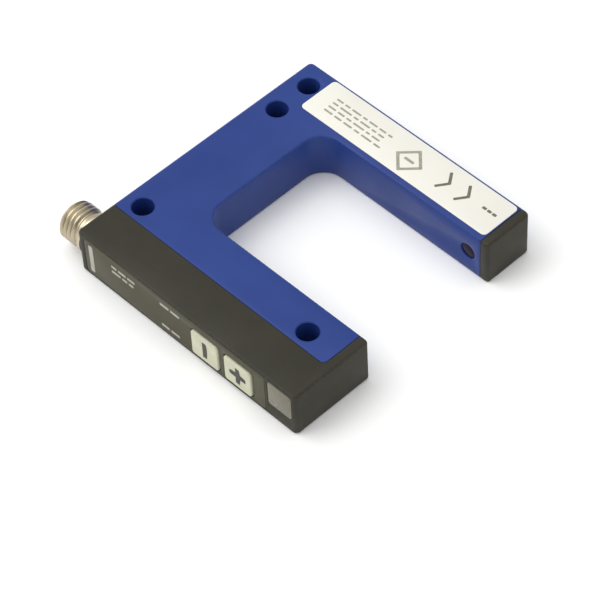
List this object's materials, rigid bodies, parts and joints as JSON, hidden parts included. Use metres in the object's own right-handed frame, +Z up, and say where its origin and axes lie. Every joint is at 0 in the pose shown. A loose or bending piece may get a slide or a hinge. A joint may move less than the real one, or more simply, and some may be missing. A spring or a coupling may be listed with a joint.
{
  "type": "fork sensor",
  "caption": "U-shaped through-beam light barrier with a flat metal body, a moulded control arm with two setting keys, and a round threaded plug connector.",
  "frame": {"origin": "on the flat underside, in the middle of the yoke and on the centre line of the gap", "axes": "+X along the arms towards their tips, +Y across the gap towards the emitter arm, +Z up out of the labelled face"},
  "size_m": [0.0625, 0.0593, 0.0101],
  "materials": {
    "painted_body": "satin blue paint on cast aluminium",
    "dark_moulding": "fine-textured dark grey moulding",
    "grey_foil": "matt grey front film",
    "indicator_plastic": "translucent grey",
    "label_film": "off-white satin film",
    "key_plastic": "pale moulded key",
    "black_plastic": "black moulding",
    "switch_steel": "pressed steel frame",
    "filter_glass": "dark red daylight filter",
    "clear_glass": "clear",
    "board_laminate": "green solder mask",
    "capacitor_can": "drawn can",
    "led_plastic": "cast resin",
    "cable_sheath": "black sheath",
    "nickel_plate": "nickel-plated brass",
    "seal_rubber": "black",
    "contact_metal": "gold-plated"
  },
  "bodies": {
    "root": {"fork_frame": "painted_body", "control_cover": "dark_moulding", "emitter_end_cap": "dark_moulding", "control_foil": "grey_foil", "indicator_window": "indicator_plastic", "rating_label": "label_film", "minus_switch": "switch_steel", "plus_switch": "switch_steel", "emitter_window": "filter_glass", "receiver_window": "filter_glass", "emitter_lens": "clear_glass", "receiver_lens": "clear_glass", "main_board": "board_laminate", "emitter_board": "board_laminate", "signal_processor": "black_plastic", "voltage_regulator": "black_plastic", "filter_capacitor": "capacitor_can", "receiver_photodiode": "black_plastic", "status_led": "led_plastic", "emitter_led": "led_plastic", "link_cable": "cable_sheath", "connector_shell": "nickel_plate", "connector_seal": "seal_rubber", "contact_carrier": "black_plastic", "contact_pin_1": "contact_metal", "contact_pin_2": "contact_metal", "contact_pin_3": "contact_metal", "contact_pin_4": "contact_metal"},
    "minus_key_unit": {"minus_key": "key_plastic", "minus_switch_plunger": "black_plastic"},
    "plus_key_unit": {"plus_key": "key_plastic", "plus_switch_plunger": "black_plastic"}
  },
  "joints": [
    {"name": "minus_key_press", "type": "slide", "parent": "root", "child": "minus_key_unit", "axis": [0, 1, 0], "range_m": [0, 0.0004], "stiffness_N_per_m": 2000},
    {"name": "plus_key_press", "type": "slide", "parent": "root", "child": "plus_key_unit", "axis": [0, 1, 0], "range_m": [0, 0.0004], "stiffness_N_per_m": 2000}
  ]
}
